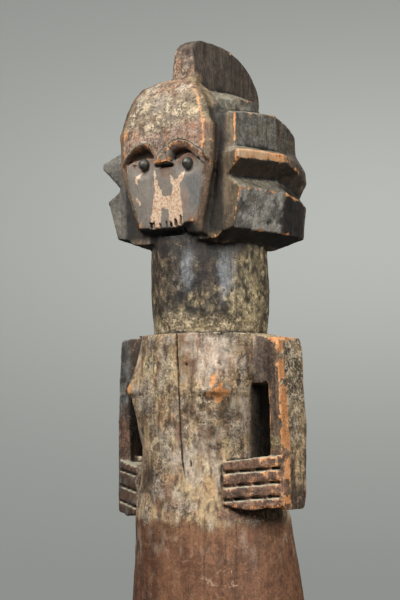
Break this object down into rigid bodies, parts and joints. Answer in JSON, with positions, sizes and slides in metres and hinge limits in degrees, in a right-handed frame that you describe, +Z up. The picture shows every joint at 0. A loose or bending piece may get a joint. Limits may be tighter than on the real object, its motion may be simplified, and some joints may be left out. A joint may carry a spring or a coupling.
{
  "type": "reliquary figure",
  "caption": "Standing carved wood reliquary figure with crested, tiered coiffure, mask-like face with tack eyes, thick neck, plank arms, hands on the belly, short legs and low base.",
  "frame": {"origin": "on the underside of the low base, straight below the axis of the neck", "axes": "+Z up, the figure faces -Y, +X is the figure's own left side"},
  "size_m": [0.227, 0.2, 0.8071],
  "materials": {
    "carved_wood": "aged carved hardwood, dark patina with a cream crust, worn orange-brown edges, bare red-brown lower body",
    "tack_metal": "dark worn iron, softly polished on the dome"
  },
  "bodies": {
    "root": {"figure": "carved_wood", "left_eye_tack": "tack_metal", "right_eye_tack": "tack_metal"}
  },
  "joints": []
}
